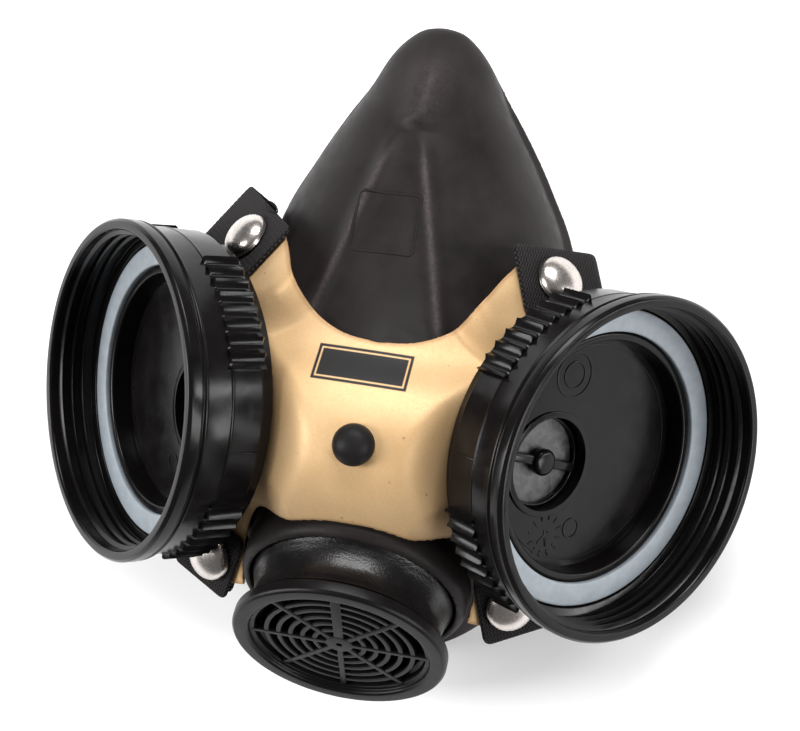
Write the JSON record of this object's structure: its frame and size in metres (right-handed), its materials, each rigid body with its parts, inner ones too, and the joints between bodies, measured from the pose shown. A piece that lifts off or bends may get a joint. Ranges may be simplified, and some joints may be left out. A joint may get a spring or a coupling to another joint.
{
  "type": "half-mask respirator",
  "caption": "Rubber half-mask respirator with a riveted metal yoke plate, open threaded cartridge receptacles and a grilled exhalation valve at the chin.",
  "frame": {"origin": "on the resting plane under the middle of the part's outline, the face seal lying on that plane", "axes": "+Z away from the wearer's face, +Y toward the nose, +X toward the viewer's right as the front is looked at with the nose up"},
  "size_m": [0.1854, 0.1715, 0.0852],
  "materials": {
    "facepiece_rubber": "moulded matte black rubber",
    "plate": "satin gold anodised sheet",
    "soft_rubber": "soft black rubber",
    "neck_plastic": "pebbled black moulding",
    "cover_plastic": "black moulding",
    "valve_plastic": "black moulding",
    "receptacle_plastic": "glossy black moulding",
    "gasket_rubber": "grey gasket rubber",
    "flap_rubber": "thin dark valve rubber",
    "webbing": "black elastic webbing",
    "rivet_metal": "polished nickel"
  },
  "bodies": {
    "mask": {"facepiece": "facepiece_rubber", "yoke_plate": "plate", "centre_stud": "soft_rubber", "valve_body": "neck_plastic", "exhalation_seat": "valve_plastic", "receptacle_right": "receptacle_plastic", "gasket_right": "gasket_rubber", "lock_nut_right": "valve_plastic", "inhalation_seat_right": "valve_plastic", "rivet_upper_right": "rivet_metal", "washer_upper_right": "rivet_metal", "rivet_lower_right": "rivet_metal", "washer_lower_right": "rivet_metal", "receptacle_left": "receptacle_plastic", "gasket_left": "gasket_rubber", "lock_nut_left": "valve_plastic", "inhalation_seat_left": "valve_plastic", "rivet_upper_left": "rivet_metal", "washer_upper_left": "rivet_metal", "rivet_lower_left": "rivet_metal", "washer_lower_left": "rivet_metal"},
    "exhalation_flap": {"exhalation_flap": "flap_rubber"},
    "valve_cover": {"valve_cover": "cover_plastic"},
    "inhalation_flap_right": {"inhalation_flap_right": "flap_rubber"},
    "inhalation_flap_left": {"inhalation_flap_left": "flap_rubber"},
    "strap_upper_right": {"strap_upper_right": "webbing"},
    "strap_lower_right": {"strap_lower_right": "webbing"},
    "strap_upper_left": {"strap_upper_left": "webbing"},
    "strap_lower_left": {"strap_lower_left": "webbing"}
  },
  "joints": [
    {"name": "exhalation_flap_lift", "type": "slide", "parent": "mask", "child": "exhalation_flap", "axis": [0, -0.855, 0.5186], "range_m": [0, 0.002], "stiffness_N_per_m": 40},
    {"name": "valve_cover_pull", "type": "slide", "parent": "mask", "child": "valve_cover", "axis": [0, -0.855, 0.5186], "range_m": [0, 0.012]},
    {"name": "inhalation_flap_right_lift", "type": "slide", "parent": "mask", "child": "inhalation_flap_right", "axis": [-0.7292, 0.1906, -0.6572], "range_m": [0, 0.0015], "stiffness_N_per_m": 40},
    {"name": "strap_upper_right_swivel", "type": "hinge", "parent": "mask", "child": "strap_upper_right", "pos_m": [0.0379, 0.0231, 0.0464], "axis": [0.5896, 0.3684, 0.7188], "range_deg": [-10, 6]},
    {"name": "strap_lower_right_swivel", "type": "hinge", "parent": "mask", "child": "strap_lower_right", "pos_m": [0.0376, -0.0548, 0.0286], "axis": [0.449, -0.3592, 0.8182], "range_deg": [-2, 2]},
    {"name": "inhalation_flap_left_lift", "type": "slide", "parent": "mask", "child": "inhalation_flap_left", "axis": [0.7292, 0.1906, -0.6572], "range_m": [0, 0.0015], "stiffness_N_per_m": 40},
    {"name": "strap_upper_left_swivel", "type": "hinge", "parent": "mask", "child": "strap_upper_left", "pos_m": [-0.0379, 0.0231, 0.0464], "axis": [-0.5896, 0.3684, 0.7188], "range_deg": [-6, 10]},
    {"name": "strap_lower_left_swivel", "type": "hinge", "parent": "mask", "child": "strap_lower_left", "pos_m": [-0.0376, -0.0548, 0.0286], "axis": [-0.449, -0.3592, 0.8182], "range_deg": [-2, 2]}
  ]
}
